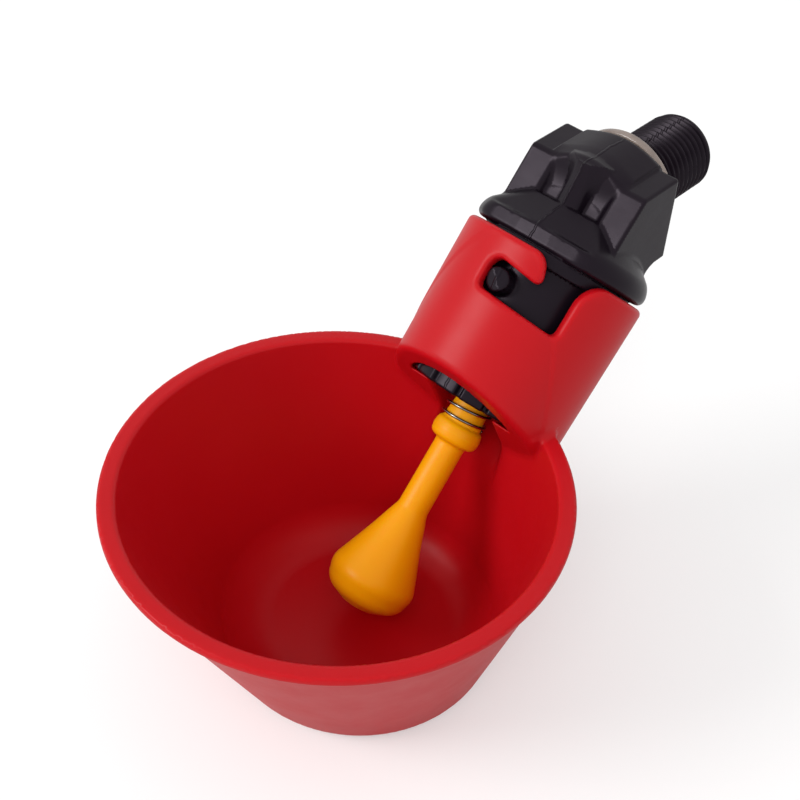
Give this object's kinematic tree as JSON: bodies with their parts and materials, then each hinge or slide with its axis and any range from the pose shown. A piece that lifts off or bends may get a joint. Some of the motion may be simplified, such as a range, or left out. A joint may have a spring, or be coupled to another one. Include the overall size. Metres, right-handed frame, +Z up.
{
  "type": "poultry drinking cup",
  "caption": "Red poultry drinking cup with a bayonet socket, a black threaded elbow valve and a yellow peck trigger on a steel spring.",
  "frame": {"origin": "Centre of the bowl's flat base.", "axes": "+Z up through the bowl, +X towards the pipe along the inlet, XZ is the plane of symmetry."},
  "size_m": [0.0902, 0.0554, 0.0566],
  "materials": {
    "red_plastic": "smooth moulded, soft gloss",
    "black_plastic": "smooth moulded, soft gloss",
    "amber_washer": "translucent, smooth",
    "seat_rubber": "matt",
    "yellow_plastic": "smooth moulded, soft gloss",
    "spring_wire": "drawn wire, bright"
  },
  "bodies": {
    "valve": {"valve_body": "black_plastic", "thread_washer": "amber_washer", "retaining_cap": "black_plastic", "seat_gasket": "seat_rubber"},
    "cup": {"cup": "red_plastic"},
    "spring": {"return_spring": "spring_wire"},
    "trigger": {"trigger": "yellow_plastic"}
  },
  "joints": [
    {"name": "bayonet_twist", "type": "hinge", "parent": "valve", "child": "cup", "pos_m": [0.02751, 0, 0.03681], "axis": [-0.6833, 0, -0.7302], "range_deg": [0, 36]},
    {"name": "trigger_sway", "type": "hinge", "parent": "valve", "child": "spring", "pos_m": [0.02235, 0, 0.03129], "axis": [-0.7302, 0, 0.6833], "range_deg": [-8, 8], "stiffness_Nm_per_rad": 0.02},
    {"name": "trigger_tilt", "type": "hinge", "parent": "spring", "child": "trigger", "pos_m": [0.02235, 0, 0.03129], "axis": [0, 1, 0], "range_deg": [-3, 8], "stiffness_Nm_per_rad": 0.02, "deforming": ["return_spring"]}
  ]
}
